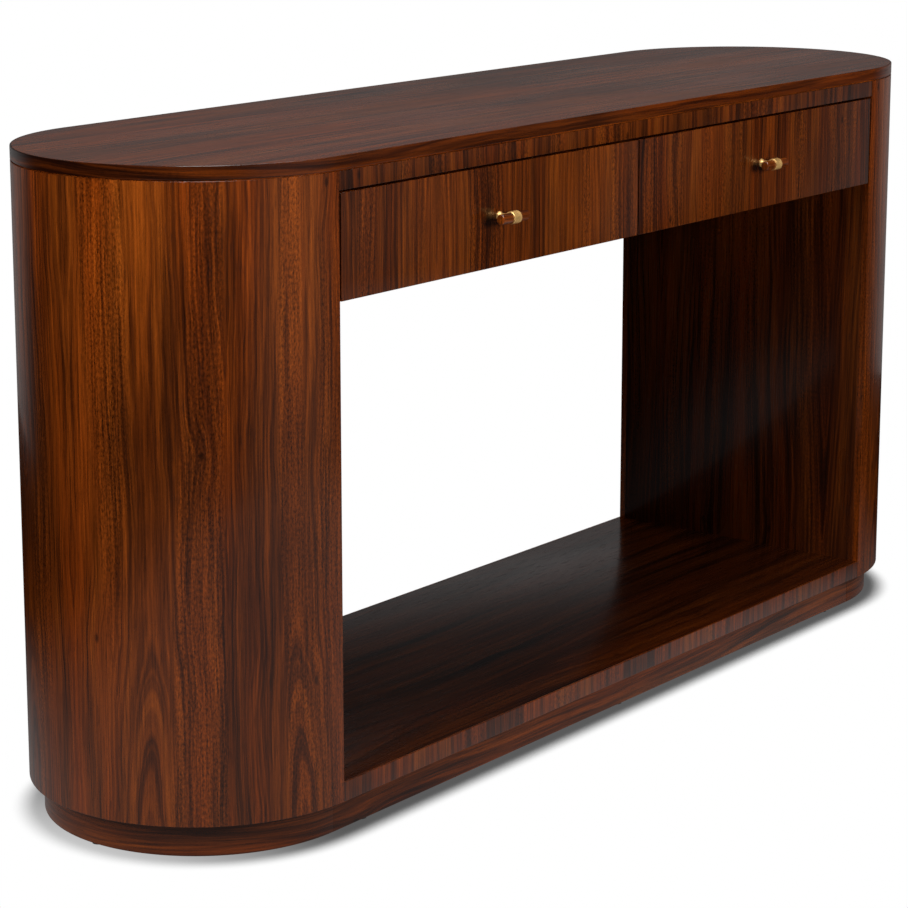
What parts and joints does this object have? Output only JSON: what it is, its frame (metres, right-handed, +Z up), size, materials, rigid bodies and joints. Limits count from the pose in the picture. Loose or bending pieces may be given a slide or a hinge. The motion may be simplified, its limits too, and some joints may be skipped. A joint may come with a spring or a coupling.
{
  "type": "console table",
  "caption": "Long wooden console table with half-round column ends, drawers under the top, an open bay and a low shelf on a set-back plinth.",
  "frame": {"origin": "on the floor, at the middle of the table's length and depth", "axes": "+X along the table, the drawers face -Y, +Z up"},
  "size_m": [1.7, 0.4807, 0.84],
  "materials": {
    "walnut_column": "vertical-grain walnut veneer under satin lacquer",
    "walnut_panel": "vertical-grain walnut veneer under satin lacquer",
    "walnut_top": "lengthwise walnut veneer under satin lacquer",
    "walnut_shelf": "lengthwise walnut veneer under satin lacquer",
    "walnut_edge": "walnut edge strip under satin lacquer",
    "walnut_rail": "vertical-grain walnut veneer under satin lacquer",
    "walnut_drawer": "vertical-grain walnut veneer under satin lacquer",
    "walnut_plinth": "lengthwise walnut veneer under satin lacquer",
    "walnut_knob": "turned walnut, glossy lacquer",
    "birch_ply": "clear lacquered birch plywood",
    "beech_dowel": "bare beech",
    "brass": "polished brass",
    "slide_steel": "bright zinc-plated steel",
    "zinc_screw": "zinc-plated steel",
    "nylon_glide": "black nylon",
    "rubber_pad": "soft dark rubber"
  },
  "bodies": {
    "carcass": {"top_panel": "walnut_top", "top_edge_band": "walnut_edge", "left_end_shell": "walnut_column", "right_end_shell": "walnut_column", "left_end_ribs": "birch_ply", "right_end_ribs": "birch_ply", "left_inner_panel": "walnut_panel", "right_inner_panel": "walnut_panel", "front_rail": "walnut_rail", "back_stretcher": "birch_ply", "back_apron": "walnut_panel", "case_bottom": "walnut_panel", "centre_divider": "birch_ply", "drawer_bumpers": "rubber_pad", "shelf_panel": "walnut_shelf", "shelf_front_edge": "walnut_edge", "shelf_back_edge": "walnut_edge", "carcass_dowels": "beech_dowel", "plinth_front_rail": "walnut_plinth", "plinth_back_rail": "walnut_plinth", "plinth_left_end": "walnut_plinth", "plinth_right_end": "walnut_plinth", "plinth_braces": "birch_ply", "plinth_screws": "zinc_screw", "floor_glides": "nylon_glide", "top_screws": "zinc_screw", "left_fixed_slides": "slide_steel", "right_fixed_slides": "slide_steel", "slide_screws": "zinc_screw"},
    "left_drawer": {"left_drawer_front": "walnut_drawer", "left_drawer_box_front": "birch_ply", "left_drawer_box_back": "birch_ply", "left_drawer_inner_side": "birch_ply", "left_drawer_outer_side": "birch_ply", "left_drawer_bottom": "birch_ply", "left_drawer_slides": "slide_steel", "left_drawer_slide_screws": "zinc_screw", "left_drawer_front_screws": "zinc_screw", "left_knob_post": "brass", "left_knob_ring": "brass", "left_knob_bar": "walnut_knob", "left_knob_screw": "zinc_screw", "left_knob_washer": "zinc_screw"},
    "left_slides": {"left_middle_slides": "slide_steel"},
    "right_drawer": {"right_drawer_front": "walnut_drawer", "right_drawer_box_front": "birch_ply", "right_drawer_box_back": "birch_ply", "right_drawer_inner_side": "birch_ply", "right_drawer_outer_side": "birch_ply", "right_drawer_bottom": "birch_ply", "right_drawer_slides": "slide_steel", "right_drawer_slide_screws": "zinc_screw", "right_drawer_front_screws": "zinc_screw", "right_knob_post": "brass", "right_knob_ring": "brass", "right_knob_bar": "walnut_knob", "right_knob_screw": "zinc_screw", "right_knob_washer": "zinc_screw"},
    "right_slides": {"right_middle_slides": "slide_steel"}
  },
  "joints": [
    {"name": "left_drawer_slide", "type": "slide", "parent": "carcass", "child": "left_drawer", "axis": [0, -1, 0], "range_m": [0, 0.35]},
    {"name": "left_middle_slide", "type": "slide", "parent": "carcass", "child": "left_slides", "axis": [0, -1, 0], "range_m": [0, 0.175]},
    {"name": "right_drawer_slide", "type": "slide", "parent": "carcass", "child": "right_drawer", "axis": [0, -1, 0], "range_m": [0, 0.35]},
    {"name": "right_middle_slide", "type": "slide", "parent": "carcass", "child": "right_slides", "axis": [0, -1, 0], "range_m": [0, 0.175]}
  ],
  "couplings": [
    {"joint": "left_middle_slide", "follows": "left_drawer_slide", "ratio": 0.5},
    {"joint": "right_middle_slide", "follows": "right_drawer_slide", "ratio": 0.5}
  ]
}
